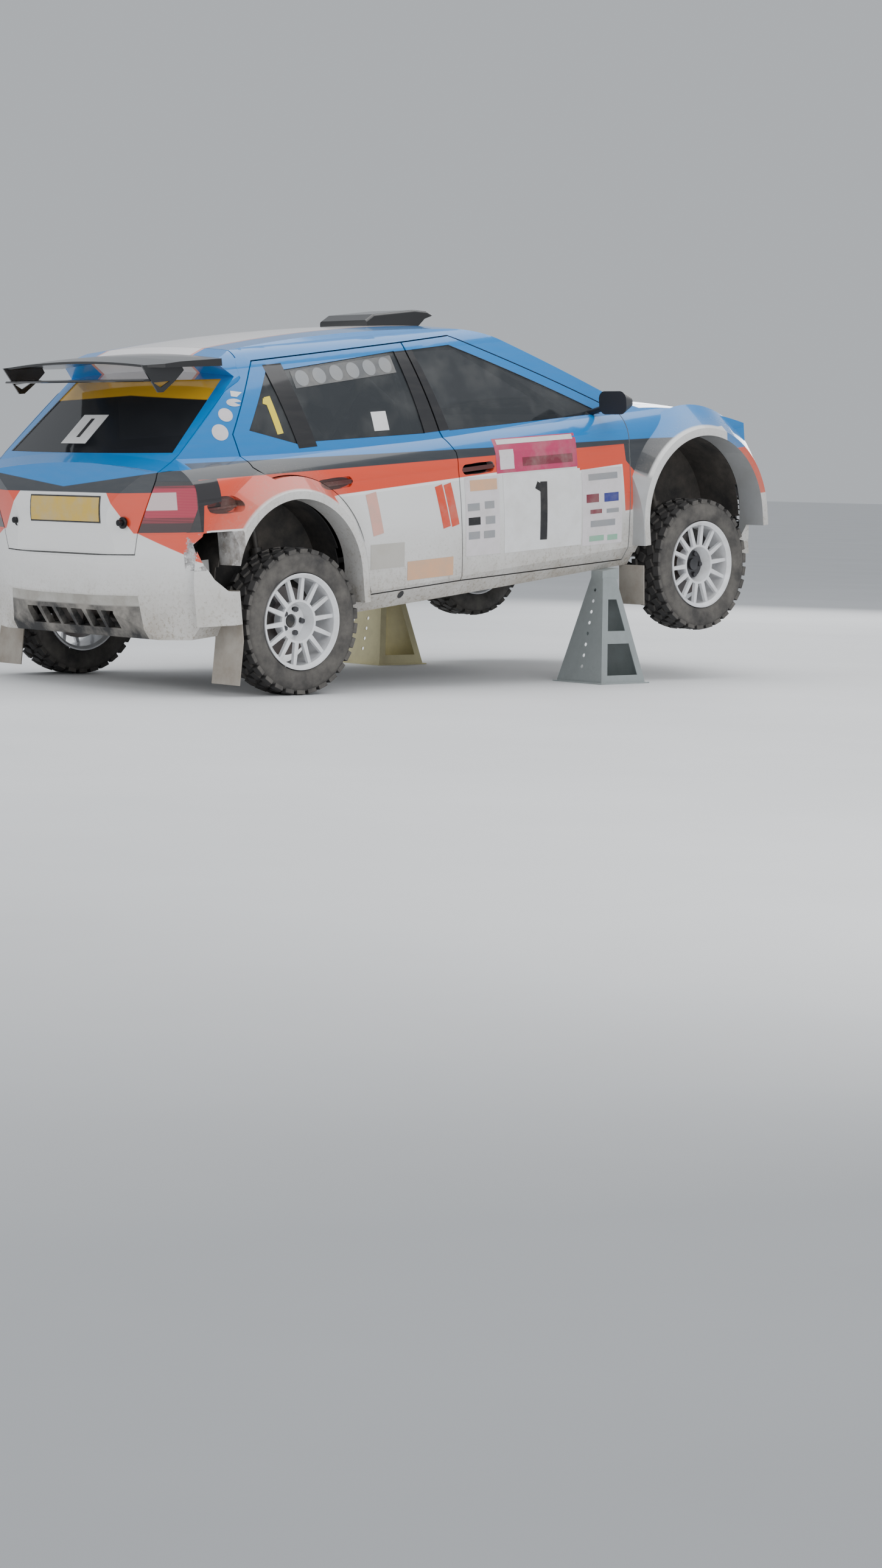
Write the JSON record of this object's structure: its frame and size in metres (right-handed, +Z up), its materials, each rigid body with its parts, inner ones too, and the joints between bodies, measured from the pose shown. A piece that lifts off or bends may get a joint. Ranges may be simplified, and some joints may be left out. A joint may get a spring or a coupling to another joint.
{
  "type": "rally car on axle stands",
  "caption": "Five-door rally hatchback with its nose up on axle stands; wheels, steering, doors, hatch and bonnet move.",
  "frame": {"origin": "centre of the bounding box, on the ground", "axes": "+X towards the nose, +Y to the left of the car, +Z up; the body stands 7 degrees nose up"},
  "size_m": [4.0598, 2.06, 1.758],
  "materials": {
    "body_paint": "gloss",
    "dark_plastic": "matt",
    "wing_carbon": "gloss",
    "floor_paint": "matt",
    "frame_steel": "satin",
    "bare_aluminium": "satin",
    "engine_iron": "rough",
    "cage_paint": "satin",
    "seat_shell": "satin",
    "exhaust_steel": "dull",
    "mudflap_sheet": "matt",
    "tow_steel": "gloss",
    "stand_zinc": "dull",
    "stand_paint": "satin",
    "lamp_red": "gloss",
    "lamp_clear": "gloss",
    "window_glass": "gloss",
    "tyre_rubber": "matt",
    "wheel_paint": "satin",
    "brake_iron": "brushed"
  },
  "bodies": {
    "root": {"axle_stand_left": "stand_paint", "axle_stand_right": "stand_zinc", "body_shell": "body_paint", "codriver_seat": "seat_shell", "crash_bracket": "bare_aluminium", "dashboard": "dark_plastic", "driver_seat": "seat_shell", "engine_block": "engine_iron", "exhaust": "exhaust_steel", "floor_pan": "floor_paint", "front_bumper": "body_paint", "front_frame": "frame_steel", "front_grilles": "dark_plastic", "front_wings": "body_paint", "headlamps": "lamp_clear", "mudflaps": "mudflap_sheet", "rear_axle": "frame_steel", "rear_bumper": "body_paint", "rear_diffuser": "dark_plastic", "roll_cage": "cage_paint", "roof_scoop": "wing_carbon", "steering_wheel": "dark_plastic", "strut_mounts": "frame_steel", "sump_guard": "bare_aluminium", "tail_lamps": "lamp_red", "tow_eye": "tow_steel", "wheel_housings": "dark_plastic", "windscreen": "window_glass"},
    "door_front_left": {"door_front_left": "body_paint", "door_frame_front_left": "body_paint", "window_front_left": "window_glass", "mirror_left": "dark_plastic"},
    "door_front_right": {"door_front_right": "body_paint", "door_frame_front_right": "body_paint", "window_front_right": "window_glass", "mirror_right": "dark_plastic"},
    "door_rear_left": {"door_rear_left": "body_paint", "door_frame_rear_left": "body_paint", "window_rear_left": "window_glass"},
    "door_rear_right": {"door_rear_right": "body_paint", "door_frame_rear_right": "body_paint", "window_rear_right": "window_glass"},
    "hatch": {"hatch": "body_paint", "hatch_glass": "window_glass", "rear_wing": "wing_carbon"},
    "bonnet": {"bonnet": "body_paint"},
    "knuckle_left": {"knuckle_left": "frame_steel"},
    "knuckle_right": {"knuckle_right": "frame_steel"},
    "wheel_rear_left": {"tyre_rear_left": "tyre_rubber", "rim_rear_left": "wheel_paint", "brake_disc_rear_left": "brake_iron"},
    "wheel_rear_right": {"tyre_rear_right": "tyre_rubber", "rim_rear_right": "wheel_paint", "brake_disc_rear_right": "brake_iron"},
    "wheel_front_left": {"tyre_front_left": "tyre_rubber", "rim_front_left": "wheel_paint", "brake_disc_front_left": "brake_iron"},
    "wheel_front_right": {"tyre_front_right": "tyre_rubber", "rim_front_right": "wheel_paint", "brake_disc_front_right": "brake_iron"}
  },
  "joints": [
    {"name": "front_door_left_hinge", "type": "hinge", "parent": "root", "child": "door_front_left", "pos_m": [0.7398, 0.84504, 0.90184], "axis": [0.1219, 0, -0.9925], "range_deg": [0, 62]},
    {"name": "rear_door_left_hinge", "type": "hinge", "parent": "root", "child": "door_rear_left", "pos_m": [-0.39171, 0.85447, 0.76291], "axis": [0.1219, 0, -0.9925], "range_deg": [0, 62]},
    {"name": "front_door_right_hinge", "type": "hinge", "parent": "root", "child": "door_front_right", "pos_m": [0.7398, -0.84504, 0.90184], "axis": [-0.1219, 0, 0.9925], "range_deg": [0, 62]},
    {"name": "rear_door_right_hinge", "type": "hinge", "parent": "root", "child": "door_rear_right", "pos_m": [-0.39171, -0.85447, 0.76291], "axis": [-0.1219, 0, 0.9925], "range_deg": [0, 62]},
    {"name": "hatch_hinge", "type": "hinge", "parent": "root", "child": "hatch", "pos_m": [-1.52063, 0, 1.52199], "axis": [0, 1, 0], "range_deg": [0, 75]},
    {"name": "bonnet_hinge", "type": "hinge", "parent": "root", "child": "bonnet", "pos_m": [0.86709, 0, 1.37488], "axis": [0, -1, 0], "range_deg": [0, 55]},
    {"name": "steer_left", "type": "hinge", "parent": "root", "child": "knuckle_left", "pos_m": [1.20249, 0.69, 0.46497], "axis": [-0.1501, -0.202, 0.9678], "range_deg": [-25, 25]},
    {"name": "steer_right", "type": "hinge", "parent": "root", "child": "knuckle_right", "pos_m": [1.20249, -0.69, 0.46497], "axis": [-0.1501, 0.202, 0.9678], "range_deg": [-25, 25]},
    {"name": "wheel_rear_left_spin", "type": "hinge", "parent": "root", "child": "wheel_rear_left", "pos_m": [-1.37329, 0.803, 0.322], "axis": [0, 1, 0], "continuous": true},
    {"name": "wheel_front_left_spin", "type": "hinge", "parent": "knuckle_left", "child": "wheel_front_left", "pos_m": [1.18981, 0.803, 0.5682], "axis": [0, 1, 0], "continuous": true},
    {"name": "wheel_rear_right_spin", "type": "hinge", "parent": "root", "child": "wheel_rear_right", "pos_m": [-1.37329, -0.803, 0.322], "axis": [0, 1, 0], "continuous": true},
    {"name": "wheel_front_right_spin", "type": "hinge", "parent": "knuckle_right", "child": "wheel_front_right", "pos_m": [1.18981, -0.803, 0.5682], "axis": [0, 1, 0], "continuous": true}
  ],
  "couplings": [
    {"joint": "steer_right", "follows": "steer_left", "ratio": 1}
  ]
}
